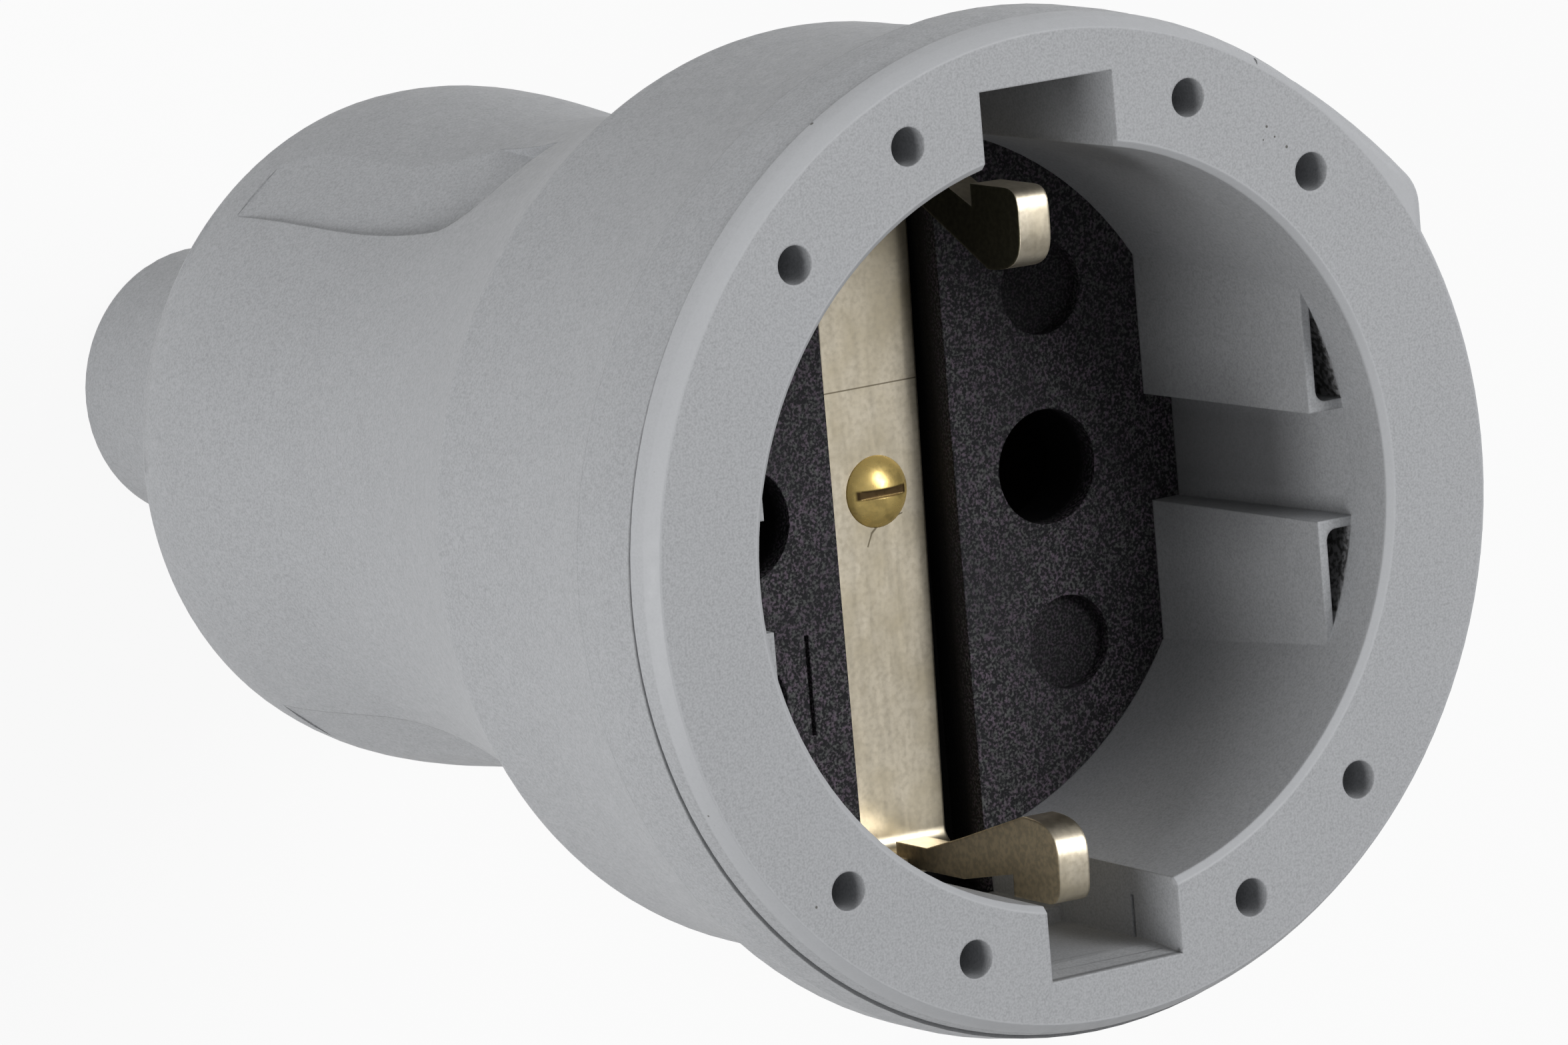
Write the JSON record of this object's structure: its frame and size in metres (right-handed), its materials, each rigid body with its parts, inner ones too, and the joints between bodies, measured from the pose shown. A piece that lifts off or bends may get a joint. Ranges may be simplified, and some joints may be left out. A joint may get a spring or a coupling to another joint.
{
  "type": "power socket",
  "caption": "Straight portable power socket with a round well, two pin holes, side earth arms, a necked grip and a cord nose.",
  "frame": {"origin": "on the socket's axis at the flat end of the cord nose", "axes": "+Z along the axis from the cord nose out of the face, +Y through the upper notch, +X to the right seen from the face"},
  "size_m": [0.052, 0.052, 0.0872],
  "materials": {
    "shroud_plastic": "fine matt moulded",
    "sleeve_plastic": "fine matt moulded",
    "carrier_plastic": "finely textured black",
    "base_plastic": "matt black",
    "nickel": "nickelled strip, lightly scratched",
    "screw_brass": "turned",
    "contact_brass": "turned and tinned",
    "spring_steel": "bright",
    "screw_steel": "zinc plated"
  },
  "bodies": {
    "root": {"socket_shroud": "shroud_plastic", "sleeve": "sleeve_plastic", "contact_carrier": "carrier_plastic", "terminal_base": "base_plastic", "earth_strap": "nickel", "centre_screw": "screw_brass", "live_contact_left": "contact_brass", "live_contact_right": "contact_brass", "contact_spring_left": "spring_steel", "contact_spring_right": "spring_steel", "live_terminal_left": "contact_brass", "live_terminal_right": "contact_brass", "earth_terminal": "contact_brass", "live_screws": "screw_steel", "earth_screw": "screw_steel", "cord_saddle": "base_plastic", "saddle_screws": "screw_steel"}
  },
  "joints": []
}
